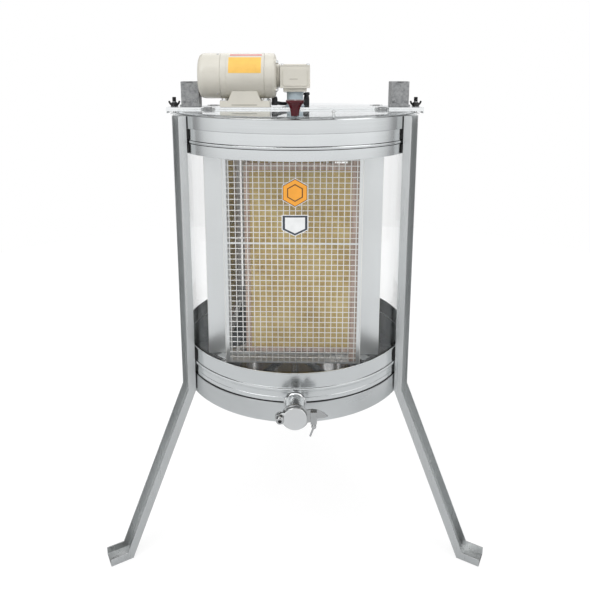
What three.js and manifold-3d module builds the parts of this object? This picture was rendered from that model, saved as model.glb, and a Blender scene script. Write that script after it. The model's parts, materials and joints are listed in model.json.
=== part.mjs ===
// Honey extractor: a tangential four-basket reel in a steel and clear-plastic drum on three
// channel legs, driven from above by a right-angle gear motor on a crossbar.
// Millimetres, +Z up. The front (outlet gate) faces -Y. The origin is at the centre of the
// footprint on the floor; the drum's axis stands AXIS_Y from it.
import * as THREE from 'three';
import { mergeVertices } from 'three/addons/utils/BufferGeometryUtils.js';
import Module from 'manifold-3d';

const wasm = await Module();
wasm.setup();

// ---------------------------------------------------------------- driving dimensions
const AXIS_Y = -72;            // drum axis from the origin
const R = 262.5;               // outer radius of the drum's sheet rings
const SHEET = 1.5;             // steel sheet
const RIM_R = 265.2;           // outer radius of the top hoop
const RIM_TOP = 970;
const RIM_BOTTOM = 942;
const UPPER_RING_BOTTOM = 891;
const TANK_TOP = 464;
const TANK_BOTTOM = 374;
const SKIRT_TOP = 399;
const SKIRT_BOTTOM = 356;
const CLEAR_R = 260.7;         // outer radius of the clear cylinder
const CLEAR_T = 2.2;
const LEG_W = 40;              // leg channel width, depth and thickness
const LEG_D = 17;
const LEG_T = 2;
const LEG_R = 265.6;           // inner face of the leg's web
const LEG_TOP = 967.5;
const LEG_KNEE = 361;
const FOOT_R = 424;            // where the leg reaches the floor
const FOOT_END = 472;
const BAR_X = 284;             // crossbar half length, half width, top
const BAR_Y = 42.5;
const BAR_TOP = 979;
const BAR_T = 2;
const POST_X = 234.5;
const POST_S = 40;
const POST_TOP = 1035;
const STUD_X = 274;
const LID_R = 263.8;
const LID_Z0 = 970.4;
const LID_T = 4;
const LID_EDGE = 50;           // straight edge from the drum's axis
const HINGE_Y = 46.5;          // lid hinge axis from the drum's axis, and its height
const HINGE_Z = 977.7;
const HINGE_X = 191;
const MOTOR_Z = 1047;          // motor axis height (axis along X)
const MOTOR_R = 50;
const SHAFT_R = 10;
const REEL_TURN = -1.5;           // degrees, the reel's rest position
const BASKET_W = 143;          // half width of a basket
const BASKET_OUT = 187;      // outer and inner faces from the reel's axis
const BASKET_IN = 145.5;
const BASKET_Z0 = 445;
const BASKET_Z1 = 930;
const GATE_Z = 400;            // outlet axis height
const PIPE_R = 21;
const DEG = Math.PI / 180;

// ---------------------------------------------------------------- finishes
const finish = (color, roughness, metalness) => new THREE.MeshStandardMaterial({ color, roughness, metalness });
const polished = finish(0xcfd3d4, 0.16, 1.0);
const brushed = finish(0xb9bdbf, 0.34, 1.0);
const galvanised = finish(0x8f9294, 0.6, 0.8);
const cream = finish(0xdad7cb, 0.42, 0.0);
const clear = finish(0xf2f6f7, 0.06, 0.0);
const wire = finish(0xd9dad7, 0.35, 1.0);
const darkSteel = finish(0x3c3e3f, 0.45, 0.9);
const blackPlastic = finish(0x17181a, 0.5, 0.0);
const redPlastic = finish(0x5a0f1c, 0.3, 0.0);
const greyPaint = finish(0xa9b4ba, 0.4, 0.2);
const comb = finish(0xa08c5c, 0.75, 0.0);
const rubber = finish(0x2a2a2a, 0.8, 0.0);
const bronze = finish(0xa8854a, 0.4, 1.0);

// ---------------------------------------------------------------- solids
function solid(geometry) {
  const g = geometry.clone();
  for (const key of Object.keys(g.attributes)) if (key !== 'position') g.deleteAttribute(key);
  const m = mergeVertices(g, 1e-4);
  const tri = new Uint32Array(m.index.array);
  const pos = new Float32Array(m.attributes.position.array);
  let volume = 0;
  for (let i = 0; i < tri.length; i += 3) {
    const [a, b, c] = [tri[i] * 3, tri[i + 1] * 3, tri[i + 2] * 3];
    volume += pos[a] * (pos[b + 1] * pos[c + 2] - pos[b + 2] * pos[c + 1])
      - pos[a + 1] * (pos[b] * pos[c + 2] - pos[b + 2] * pos[c])
      + pos[a + 2] * (pos[b] * pos[c + 1] - pos[b + 1] * pos[c]);
  }
  if (volume < 0) for (let i = 0; i < tri.length; i += 3) [tri[i], tri[i + 1]] = [tri[i + 1], tri[i]];
  return new wasm.Manifold(new wasm.Mesh({ numProp: 3, vertProperties: pos, triVerts: tri }));
}
const box = (x0, x1, y0, y1, z0, z1) =>
  solid(new THREE.BoxGeometry(x1 - x0, y1 - y0, z1 - z0).translate((x0 + x1) / 2, (y0 + y1) / 2, (z0 + z1) / 2));
const cylZ = (r, z0, z1, x = 0, y = 0, n = 24, r2 = r) =>
  solid(new THREE.CylinderGeometry(r2, r, z1 - z0, n).rotateX(Math.PI / 2).translate(x, y, (z0 + z1) / 2));
const cylY = (r, y0, y1, x, z, n = 24, r2 = r) =>
  solid(new THREE.CylinderGeometry(r2, r, y1 - y0, n).translate(x, (y0 + y1) / 2, z));
const cylX = (r, x0, x1, y, z, n = 24, r2 = r) =>
  solid(new THREE.CylinderGeometry(r2, r, x1 - x0, n).rotateZ(-Math.PI / 2).translate((x0 + x1) / 2, y, z));
const lathe = (points, n = 48) =>
  solid(new THREE.LatheGeometry(points.map(([r, z]) => new THREE.Vector2(r, z)), n).rotateX(Math.PI / 2));
const latheX = (points, n = 32) =>
  solid(new THREE.LatheGeometry(points.map(([r, x]) => new THREE.Vector2(r, x)), n).rotateZ(-Math.PI / 2));
const ring = (r0, r1, z0, z1, n = 48) => lathe([[r0, z0], [r1, z0], [r1, z1], [r0, z1], [r0, z0]], n);
const outline = (points) => new THREE.Shape(points.map(([x, y]) => new THREE.Vector2(x, y)));
// A flat outline in XZ, thickened along Y from y0 to y1.
const plateXZ = (points, y0, y1) =>
  solid(new THREE.ExtrudeGeometry(outline(points), { depth: y1 - y0, bevelEnabled: false }).rotateX(Math.PI / 2).translate(0, y1, 0));
// A flat outline in XY, thickened from z0 to z1.
const plateXY = (points, z0, z1) =>
  solid(new THREE.ExtrudeGeometry(outline(points), { depth: z1 - z0, bevelEnabled: false }).translate(0, 0, z0));
const add = (...solids) => solids.reduce((a, b) => a.add(b));
const turned = (s, degrees) => s.rotate([0, 0, degrees]);

const drum = new THREE.Group();
drum.position.set(0, AXIS_Y, 0);
const group = new THREE.Group();
group.add(drum);

function part(name, shape, material) {
  const mesh = shape.getMesh();
  const geometry = new THREE.BufferGeometry();
  geometry.setAttribute('position', new THREE.BufferAttribute(new Float32Array(mesh.vertProperties), 3));
  geometry.setIndex(new THREE.BufferAttribute(new Uint32Array(mesh.triVerts), 1));
  geometry.computeVertexNormals();
  const m = new THREE.Mesh(geometry, material);
  m.name = name;
  drum.add(m);
}

// ---------------------------------------------------------------- drum
// The tank: a sheet wall with a raised bead, welded to a skirt that stands out below it, and a
// separate floor that rises to the middle, so that honey runs to the wall and out at the front.
const outletHole = cylY(PIPE_R + 0.4, -290, -240, 0, GATE_Z, 32);
const tank = lathe([
  [R - SHEET, TANK_BOTTOM], [R, TANK_BOTTOM], [R, SKIRT_BOTTOM], [R + 0.4 + SHEET, SKIRT_BOTTOM],
  [R + 0.4 + SHEET, SKIRT_TOP], [R, SKIRT_TOP], [R, 424], [R + 2.3, 427], [R, 430], [R, TANK_TOP],
  [R - SHEET, TANK_TOP], [R - SHEET, TANK_BOTTOM],
]);
part('tank_shell', tank.subtract(outletHole), brushed);
part('tank_floor', lathe([
  [0, 402], [34, 402], [256, 376.5], [R - SHEET - 0.4, 376.5], [R - SHEET - 0.4, 378.4], [256.5, 378.6], [34, 404.2], [0, 404.2],
]).subtract(outletHole), brushed);
part('upper_ring', lathe([
  [R - SHEET, UPPER_RING_BOTTOM], [R, UPPER_RING_BOTTOM], [R, 912.5], [R + 1.2, 915.8], [R, 919], [R, 968],
  [R - SHEET, 968], [R - SHEET, UPPER_RING_BOTTOM],
]), polished);
part('rim_band', lathe([
  [R + 0.6, RIM_BOTTOM], [RIM_R, RIM_BOTTOM], [RIM_R, RIM_TOP], [248, RIM_TOP], [248, 968.5], [R + 0.6, 968.5], [R + 0.6, RIM_BOTTOM],
]), polished);
part('clear_cylinder', ring(CLEAR_R - CLEAR_T, CLEAR_R, 440, 915), clear);

// ---------------------------------------------------------------- legs
// Side view of a leg in (radius, height): upright on the drum, a mitred knee, a slanted
// length to the floor and a short flat foot. The channel opens away from the drum.
function offsetPath(path, d) {
  const out = [];
  for (let i = 0; i < path.length; i++) {
    const n = [];
    if (i > 0) n.push(normal(path[i - 1], path[i]));
    if (i < path.length - 1) n.push(normal(path[i], path[i + 1]));
    if (n.length === 1) out.push([path[i][0] + n[0][0] * d, path[i][1] + n[0][1] * d]);
    else {
      const k = d / (1 + n[0][0] * n[1][0] + n[0][1] * n[1][1]);
      out.push([path[i][0] + (n[0][0] + n[1][0]) * k, path[i][1] + (n[0][1] + n[1][1]) * k]);
    }
  }
  return out;
}
function normal([ax, ay], [bx, by]) {
  const l = Math.hypot(bx - ax, by - ay);
  return [-(by - ay) / l, (bx - ax) / l];
}
const legPath = [[LEG_R, LEG_TOP], [LEG_R, LEG_KNEE], [FOOT_R, 0], [FOOT_END, 0]];
const legStrip = (d) => [...legPath, ...offsetPath(legPath, d).reverse()];
function leg() {
  const web = plateXZ(legStrip(LEG_T), -LEG_W / 2 + 1, LEG_W / 2 - 1);
  const side = legStrip(LEG_D);
  return add(web, plateXZ(side, -LEG_W / 2, -LEG_W / 2 + LEG_T), plateXZ(side, LEG_W / 2 - LEG_T, LEG_W / 2));
}
const legHole = (z) => cylX(3.3, 250, 290, 0, z, 12);
const oneLeg = leg().subtract(legHole(956));
// A screw through the web into the hoop: a button head inside the channel. The foot of the
// upright is welded to the skirt.
const screw = (z, r0) => add(cylX(3, r0, LEG_R + 3, 0, z, 10), cylX(6, LEG_R + LEG_T + 0.3, LEG_R + LEG_T + 4.3, 0, z, 16, 4.5));
const seats = [['right', -30], ['rear', 90], ['left', 210]];
for (const [side, at] of seats) {
  part(`leg_${side}`, turned(oneLeg, at), brushed);
  part(`leg_screw_${side}`, turned(screw(956, RIM_R + 0.05), at), brushed);
}

// ---------------------------------------------------------------- crossbar and its clamps
const knuckle = (x, s) => add(cylX(3, x - 3, x + 3, s * HINGE_Y, HINGE_Z, 12),
  box(x - 3, x + 3, Math.min(s * HINGE_Y, s * (BAR_Y - 1)), Math.max(s * HINGE_Y, s * (BAR_Y - 1)), HINGE_Z - 1.4, HINGE_Z + 1.3));
let bar = add(
  box(-BAR_X, BAR_X, -BAR_Y, BAR_Y, BAR_TOP - BAR_T, BAR_TOP),
  box(-BAR_X, BAR_X, -BAR_Y, -BAR_Y + BAR_T, RIM_TOP + 0.5, BAR_TOP),
  box(-BAR_X, BAR_X, BAR_Y - BAR_T, BAR_Y, RIM_TOP + 0.5, BAR_TOP),
  box(-BAR_X, -BAR_X + BAR_T - 0.3, -BAR_Y, BAR_Y, 966, BAR_TOP),
  box(BAR_X - BAR_T + 0.3, BAR_X, -BAR_Y, BAR_Y, 966, BAR_TOP),
);
for (const s of [-1, 1]) for (const x of [-HINGE_X - 12, -HINGE_X + 12, HINGE_X - 12, HINGE_X + 12]) bar = bar.add(knuckle(x, s));
for (const x of [-STUD_X, STUD_X]) bar = bar.subtract(cylZ(4.6, 960, 990, x, 0, 16));
bar = bar.subtract(cylZ(SHAFT_R + 1.5, 960, 990, 0, 0, 24));
part('crossbar', bar, polished);

for (const [side, s] of [['left', -1], ['right', 1]]) {
  const notch = box(-7, 7, -POST_S / 2 - 1, -POST_S / 2 + 4, POST_TOP - 4, POST_TOP + 1);
  const tube = box(-POST_S / 2, POST_S / 2, -POST_S / 2, POST_S / 2, BAR_TOP + 0.3, POST_TOP)
    .subtract(box(-POST_S / 2 + 2.5, POST_S / 2 - 2.5, -POST_S / 2 + 2.5, POST_S / 2 - 2.5, BAR_TOP + 3, POST_TOP + 1))
    .subtract(notch);
  part(`post_${side}`, tube.translate([s * POST_X, 0, 0]), galvanised);
  // The ear is welded to the hoop and carries the stud that the crossbar drops over.
  const earInner = RIM_R + 0.3;
  const ear = add(box(earInner, earInner + 2, -14, 14, 946, 965), box(earInner, 281, -14, 14, 962, 965), cylZ(4, 958, 1000, STUD_X, 0, 16));
  part(`clamp_stud_${side}`, s > 0 ? ear : ear.rotate([0, 0, 180]), brushed);
  // Wing nut: a round boss with two raised wings.
  const wing = (k) => plateXZ([[k * 3, 980], [k * 8, 981.5], [k * 14, 989], [k * 13.5, 993.5], [k * 10.5, 993], [k * 5, 988]], -1.6, 1.6);
  const nut = add(cylZ(8, BAR_TOP + 0.3, BAR_TOP + 3, 0, 0, 20), cylZ(6.5, BAR_TOP + 2, BAR_TOP + 9, 0, 0, 20, 5.4), wing(1), wing(-1)).subtract(cylZ(4.3, 970, 1000, 0, 0, 16));
  part(`wing_nut_${side}`, nut.translate([s * STUD_X, 0, 0]), darkSteel);
}

// ---------------------------------------------------------------- lids
for (const [side, s] of [['front', -1], ['rear', 1]]) {
  const arc = [];
  const start = Math.asin(LID_EDGE / LID_R);
  for (let i = 0; i <= 28; i++) {
    const a = start + ((Math.PI - 2 * start) * i) / 28;
    arc.push([LID_R * Math.cos(a), s * LID_R * Math.sin(a)]);
  }
  const lid = plateXY(s > 0 ? arc : arc.reverse(), LID_Z0, LID_Z0 + LID_T).subtract(cylZ(3.3, 960, 980, 0, s * 250, 12));
  part(`${side}_lid`, lid, clear);
  for (const [hand, x] of [['left', -HINGE_X], ['right', HINGE_X]]) {
    const y0 = s * HINGE_Y;
    const y1 = s * (HINGE_Y + 20);
    const leaf = add(cylX(3, x - 8.6, x + 8.6, y0, HINGE_Z, 12), box(x - 8.6, x + 8.6, Math.min(y0, y1), Math.max(y0, y1), LID_Z0 + LID_T + 0.35, LID_Z0 + LID_T + 2.2));
    part(`${side}_lid_hinge_${hand}`, leaf, galvanised);
  }
  // A flared knob on a screw through the lid's edge.
  const knob = lathe([[0, 974.8], [7.5, 974.8], [8.2, 982], [9.6, 990], [13.8, 997], [17, 1001], [16.8, 1003.6], [13.4, 1004.4], [0, 1004.4]], 24)
    .add(cylZ(3, 970.6, 976, 0, 0, 12));
  part(`${side}_lid_knob`, knob.translate([0, s * 250, 0]), redPlastic);
}

// ---------------------------------------------------------------- motor
const X = { cowl0: -214, cowl1: -164.3, body1: -67.3, shield1: -40 };
part('fan_cowl', latheX([
  [0, X.cowl0], [40, X.cowl0], [46, X.cowl0 + 3], [MOTOR_R, X.cowl0 + 11], [MOTOR_R, X.cowl1], [MOTOR_R - 2, X.cowl1],
  [MOTOR_R - 2, X.cowl0 + 12], [44.5, X.cowl0 + 5], [39, X.cowl0 + 2], [0, X.cowl0 + 2],
]).translate([0, 0, MOTOR_Z]).subtract(add(...[0, 60, 120, 180, 240, 300].map((a) =>
  cylX(7, X.cowl0 - 5, X.cowl0 + 6, 24 * Math.cos(a * DEG), MOTOR_Z + 24 * Math.sin(a * DEG), 12)))), cream);
part('motor_body', latheX([[43.8, X.cowl1 + 0.3], [MOTOR_R, X.cowl1 + 0.3], [MOTOR_R, X.body1], [43.8, X.body1], [43.8, X.cowl1 + 0.3]])
  .translate([0, 0, MOTOR_Z]), cream);
part('motor_stator', latheX([[31, -158], [43.4, -158], [43.4, -82], [31, -82], [31, -158]], 24).translate([0, 0, MOTOR_Z]), bronze);
part('motor_end_shield', latheX([
  [9, X.body1 + 0.3], [MOTOR_R, X.body1 + 0.3], [MOTOR_R, X.shield1 - 8.5], [47, X.shield1 - 4.5], [40, X.shield1 - 1.7], [30, X.shield1 - 0.8], [26, X.shield1], [26, -34], [9, -34], [9, X.body1 + 0.3],
]).translate([0, 0, MOTOR_Z]), cream);
const bladed = [0, 72, 144, 216, 288].map((a) => box(-200, -190, -1.2, 1.2, 10, 42).rotate([a, 0, 0]));
const rotor = add(latheX([[0, -202], [7, -202], [7, -156], [30, -156], [30, -84], [7, -84], [7, -31], [6, -31], [6, -14], [0, -14]], 24),
  latheX([[0, -190], [42, -190], [42, -188], [0, -188]], 24), ...bladed);
part('motor_rotor', rotor.translate([0, 0, MOTOR_Z]), brushed);
let foot = add(
  box(-166, -55.5, -38, 38, BAR_TOP + 0.3, 993),
  plateXZ([[-148, 992], [-75, 992], [-86, 1020], [-136, 1020]], -38, 38),
).subtract(box(-162, -59.5, -34, 34, BAR_TOP - 1, 989.5)).subtract(cylX(MOTOR_R + 0.3, -180, -50, 0, MOTOR_Z, 32));
for (const x of [-157, -65]) for (const y of [-30, 30]) foot = foot.add(cylZ(5, 992, 997.5, x, y, 6));
part('motor_foot', foot, cream);

// ---------------------------------------------------------------- gearbox and column
const boxMid = MOTOR_Z;
part('gearbox_housing', add(box(-33, 33, -33, 33, 1020.5, 1068), box(-26, 26, -26, 26, 1012.5, 1021))
  .subtract(box(-28.5, 28.5, -28.5, 28.5, 1025.5, 1069)).subtract(cylX(8.5, -40, -20, 0, boxMid, 20))
  .subtract(cylX(26.4, -35, -33, 0, boxMid, 20)).subtract(cylZ(SHAFT_R + 0.5, 1000, 1030, 0, 0, 20)), cream);
part('gearbox_cover', add(box(-33, 33, -33, 33, 1068.3, 1070.5), box(-29, 24, -29, 29, 1070, 1072.5)), cream);
part('crown_gear', add(lathe([[SHAFT_R + 0.2, 1031], [27, 1031], [27.5, 1036], [25, 1040.4], [14, 1040.4], [SHAFT_R + 0.2, 1038], [SHAFT_R + 0.2, 1031]], 32)), bronze);
part('coupling_column', ring(SHAFT_R + 4, 18.5, BAR_TOP + 0.3, 1012.2, 32), greyPaint);
// A short held lead with its gland under the motor's end shield, running behind the column
// to its inlet on the crossbar.
const shieldSpace = latheX([[0, -70], [50.4, -70], [50.4, -48.1], [47.4, -44], [40.3, -41], [30.3, -40], [0, -39.9]]).translate([0, 0, MOTOR_Z]);
const gland = cylZ(7.5, 982, 1000, -46, -4, 16).subtract(shieldSpace);
const lead = new THREE.CatmullRomCurve3([[-44, -4, 987], [-38, -2, 986.6], [-30, 8, 985], [-20, 24, 984.2], [0, 29, 984.2], [8, 28, 985.4], [15.6, 27, 987.5]].map((p) => new THREE.Vector3(...p)));
const leadSection = new THREE.Shape(Array.from({ length: 8 }, (_, i) => new THREE.Vector2(4 * Math.cos(i * 45 * DEG), 4 * Math.sin(i * 45 * DEG))));
part('motor_lead', solid(new THREE.ExtrudeGeometry(leadSection, { steps: 16, extrudePath: lead, bevelEnabled: false })).add(gland), blackPlastic);
part('lead_inlet', add(box(20, 33, 17, 33, BAR_TOP + 0.3, 997), cylX(5, 17.4, 21, 27, 988, 12), cylZ(6.2, 996, 1004, 26.5, 25, 16), cylZ(7.4, 1003.5, 1010, 26.5, 25, 16)), blackPlastic);

// ---------------------------------------------------------------- reel
part('reel_shaft', add(lathe([[0, 408], [6, 408], [SHAFT_R, 412], [SHAFT_R, 1052], [0, 1052]], 24)), brushed);
part('bottom_bearing', lathe([[0, 404.6], [24, 404.6], [24, 409], [19, 411], [18, 424], [SHAFT_R + 0.4, 424], [SHAFT_R + 0.4, 411.2], [6, 407.2], [0, 407.2]], 24), brushed);
function spider(z0, z1) {
  let s = cylZ(22, z0 - 6, z1 + 6, 0, 0, 24);
  for (const a of [45, 135, 225, 315]) s = s.add(box(10, 226, -11, 11, z0, z1).rotate([0, 0, a]));
  return s.subtract(cylZ(SHAFT_R + 0.2, z0 - 20, z1 + 20, 0, 0, 24)).rotate([0, 0, REEL_TURN]);
}
part('bottom_spider', spider(439.5, 444.5), brushed);
part('top_spider', spider(930.5, 935.5), brushed);

// One basket, in front of the axis: two side walls with turned-in edges, a floor, top rails
// and a middle bar. A comb frame stands on end in it with its top bar upright.
function basketFrame() {
  const T = 1.4;
  const W = BASKET_W;
  const [o, i] = [-BASKET_OUT + 1, -BASKET_IN - 1];
  const list = [];
  // Every bar ends inside the sheet that it is welded to, a little in from the sheet's faces.
  for (const s of [-1, 1]) {
    const x = (a, b) => [Math.min(s * a, s * b), Math.max(s * a, s * b)];
    list.push(box(...x(W - T, W), o, i, BASKET_Z0, BASKET_Z1));
    list.push(box(...x(W - 9, W - 0.4), o + 0.15, o + T, BASKET_Z0 + 0.15, BASKET_Z1 - 0.15));
    list.push(box(...x(W - 9, W - 0.4), i - T, i - 0.15, BASKET_Z0 + 0.15, BASKET_Z1 - 0.15));
  }
  list.push(box(-W + 0.5, W - 0.5, o + 0.35, i - 0.35, BASKET_Z0 + 0.35, BASKET_Z0 + T));
  for (const [z0, z1] of [[BASKET_Z0 + 0.6, BASKET_Z0 + 8], [708, 713], [BASKET_Z1 - 10, BASKET_Z1 - 0.6]]) {
    list.push(box(-W + 0.7, W - 0.7, o + 0.3, o + T - 0.25, z0, z1), box(-W + 0.7, W - 0.7, i - T + 0.25, i - 0.3, z0, z1));
  }
  for (const x of [-71, 71]) list.push(box(x - 2.5, x + 2.5, i - T + 0.4, i - 0.45, BASKET_Z0 + 0.9, BASKET_Z1 - 0.9));   // inner guard strips
  return add(...list);
}
function combFrame() {
  const [y0, y1] = [-BASKET_OUT + 6, -BASKET_IN - 6];
  return add(
    box(120, 140, y0, y1, BASKET_Z0 + 3, 886),           // top bar, on end, with its lugs
    box(-99, 121, y0, y1, 469, 479), box(-99, 121, y0, y1, 862, 872),
    box(-99, -88, y0, y1, 469, 872),
    box(-89, 121, y0 + 1.5, y1 - 1.5, 478, 863),          // sealed comb
  );
}
const faces = [['front', 0], ['right', 90], ['rear', 180], ['left', 270]];
for (const [side, at] of faces) {
  const turn = (s) => turned(s, at + REEL_TURN);
  part(`basket_frame_${side}`, turn(basketFrame()), brushed);
  part(`outer_mesh_${side}`, turn(box(-BASKET_W, BASKET_W, -BASKET_OUT, -BASKET_OUT + 0.7, BASKET_Z0, BASKET_Z1)), wire);
  part(`comb_frame_${side}`, turn(combFrame()), comb);
}

// ---------------------------------------------------------------- outlet gate
const PIVOT_X = -29;
part('gate_pipe', cylY(PIPE_R, -310, -256, 0, GATE_Z, 32).subtract(cylY(PIPE_R - 2.5, -311, -255, 0, GATE_Z, 32)), polished);
// Gate body: a round flange with the pivot's ear at the left and a curved horn at the right.
const horn = [[20, 415], [33, 417], [46, 415], [57, 409], [64, 402], [56, 399.5], [44, 398], [30, 390], [20, 388]];
part('gate_body', add(cylY(27, -315, -310.3, 0, GATE_Z, 32), cylY(10, -315, -310.3, PIVOT_X, GATE_Z, 20), box(PIVOT_X, -15, -315, -310.3, GATE_Z - 9, GATE_Z + 9),
  plateXZ(horn, -315, -311.8), box(30, 42, -324, -312, 391, 416)).subtract(cylZ(3.4, 380, 404, 36, -319.6, 12)).subtract(cylY(PIPE_R - 2.5, -320, -300, 0, GATE_Z, 32)).subtract(cylY(3.3, -320, -300, PIVOT_X, GATE_Z, 12)), brushed);
part('gate_seal', cylY(21.5, -316.1, -315.2, 0, GATE_Z, 32).subtract(cylY(18.6, -317, -315, 0, GATE_Z, 32)), rubber);
part('gate_flap', add(cylY(23.5, -321.5, -316.4, 0, GATE_Z, 40), cylY(9, -320.4, -316.4, PIVOT_X, GATE_Z, 20), box(PIVOT_X, -12, -320.4, -316.4, GATE_Z - 8, GATE_Z + 8))
  .subtract(cylY(3.3, -330, -300, PIVOT_X, GATE_Z, 12)), polished);
part('gate_pivot_bolt', add(cylY(3, -323, -311, PIVOT_X, GATE_Z, 12), cylY(8, -328, -321.9, PIVOT_X, GATE_Z, 20)).subtract(cylY(3.4, -329, -325, PIVOT_X, GATE_Z, 6)), brushed);
const tommy = new THREE.LineCurve3(new THREE.Vector3(37, -319.6, 385), new THREE.Vector3(29, -319.6, 363));
const tommySection = new THREE.Shape(Array.from({ length: 10 }, (_, i) => new THREE.Vector2(1.9 * Math.cos(i * 36 * DEG), 1.9 * Math.sin(i * 36 * DEG))));
part('gate_clamp_screw', add(cylZ(3, 384, 402, 36, -319.6, 12), solid(new THREE.SphereGeometry(5, 14, 10).translate(36.3, -319.6, 384)),
  solid(new THREE.ExtrudeGeometry(tommySection, { steps: 1, extrudePath: tommy, bevelEnabled: false }))), brushed);

export default group;
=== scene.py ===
import json
import math
import random

import bmesh
import bpy
from mathutils import Matrix, Vector

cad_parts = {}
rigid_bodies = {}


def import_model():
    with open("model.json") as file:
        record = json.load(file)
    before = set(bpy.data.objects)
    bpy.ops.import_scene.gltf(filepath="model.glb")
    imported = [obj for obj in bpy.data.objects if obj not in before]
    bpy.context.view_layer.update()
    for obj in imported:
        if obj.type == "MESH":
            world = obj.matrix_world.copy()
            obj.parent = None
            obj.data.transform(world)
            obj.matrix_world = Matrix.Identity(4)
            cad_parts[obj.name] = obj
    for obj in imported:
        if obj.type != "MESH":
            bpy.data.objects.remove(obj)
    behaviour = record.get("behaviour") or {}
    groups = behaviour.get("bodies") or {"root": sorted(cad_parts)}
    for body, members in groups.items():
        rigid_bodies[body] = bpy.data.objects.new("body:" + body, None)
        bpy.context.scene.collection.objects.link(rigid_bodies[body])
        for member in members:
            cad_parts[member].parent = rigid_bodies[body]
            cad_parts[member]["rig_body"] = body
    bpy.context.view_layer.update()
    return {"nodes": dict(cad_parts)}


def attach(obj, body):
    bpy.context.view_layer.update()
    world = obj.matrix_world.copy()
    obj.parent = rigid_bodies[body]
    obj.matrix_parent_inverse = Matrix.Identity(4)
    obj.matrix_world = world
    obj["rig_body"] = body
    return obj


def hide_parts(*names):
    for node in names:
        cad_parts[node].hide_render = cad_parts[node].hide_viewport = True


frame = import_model()
random.seed(7)

# ------------------------------------------------------------------ dimensions (mm, from the drum's axis)
AXIS_Y = -72.0
R = 262.5
SHEET = 1.5
RIM_R = 265.2
CLEAR_R = 260.7
REEL_TURN = -1.5
MOTOR_Z = 1047.0
MOTOR_R = 50.0
BASKET_W = 143.0
BASKET_OUT = 187.0
BASKET_IN = 145.5
GATE_Z = 400.0
PIVOT_X = -29.0
LID_R = 263.8
LID_EDGE = 50.0
PLACE = Matrix.Translation((0, AXIS_Y / 1000, 0)) @ Matrix.Scale(0.001, 4)
TO_X = Matrix.Rotation(math.pi / 2, 4, "Y")
TO_Y = Matrix.Rotation(-math.pi / 2, 4, "X")


def at(x=0.0, y=0.0, z=0.0):
    return Matrix.Translation((x, y, z))


def turn_z(degrees):
    return Matrix.Rotation(math.radians(degrees), 4, "Z")


# ------------------------------------------------------------------ materials
def material(name, base, rough, metal=0.0, **sockets):
    m = bpy.data.materials.new(name)
    m.use_nodes = True
    nt = m.node_tree
    p = nt.nodes["Principled BSDF"]
    p.inputs["Base Color"].default_value = (*base, 1)
    p.inputs["Roughness"].default_value = rough
    p.inputs["Metallic"].default_value = metal
    for key, value in sockets.items():
        p.inputs[key.replace("_", " ")].default_value = value
    m.diffuse_color = (*base, 1)
    return m, nt, p


def node(nt, kind, **values):
    n = nt.nodes.new(kind)
    for key, value in values.items():
        if hasattr(n, key):
            setattr(n, key, value)
        else:
            n.inputs[key].default_value = value
    return n


def coords(nt, scale):
    tc = node(nt, "ShaderNodeTexCoord")
    mp = node(nt, "ShaderNodeMapping")
    mp.inputs["Scale"].default_value = scale
    nt.links.new(tc.outputs["Object"], mp.inputs["Vector"])
    return mp.outputs["Vector"]


def noise(nt, scale, vec, detail=3.0, rough=0.55):
    n = node(nt, "ShaderNodeTexNoise")
    n.inputs["Scale"].default_value = scale
    n.inputs["Detail"].default_value = detail
    n.inputs["Roughness"].default_value = rough
    nt.links.new(vec, n.inputs["Vector"])
    return n.outputs["Fac"]


def ramp(nt, fac, stops):
    r = node(nt, "ShaderNodeValToRGB")
    els = r.color_ramp.elements
    while len(els) < len(stops):
        els.new(0.5)
    for e, (pos, col) in zip(els, stops):
        e.position = pos
        e.color = (*col, 1) if len(col) == 3 else col
    nt.links.new(fac, r.inputs["Fac"])
    return r.outputs["Color"]


def remap(nt, fac, lo, hi, a=0.3, b=0.7):
    r = node(nt, "ShaderNodeMapRange")
    r.inputs["From Min"].default_value = a
    r.inputs["From Max"].default_value = b
    r.inputs["To Min"].default_value = lo
    r.inputs["To Max"].default_value = hi
    nt.links.new(fac, r.inputs["Value"])
    return r.outputs["Result"]


def bump(nt, p, fac, strength, distance):
    b = node(nt, "ShaderNodeBump")
    b.inputs["Strength"].default_value = strength
    b.inputs["Distance"].default_value = distance
    nt.links.new(fac, b.inputs["Height"])
    last = p.inputs["Normal"].links
    if last:
        nt.links.new(last[0].from_socket, b.inputs["Normal"])
    nt.links.new(b.outputs["Normal"], p.inputs["Normal"])


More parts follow.
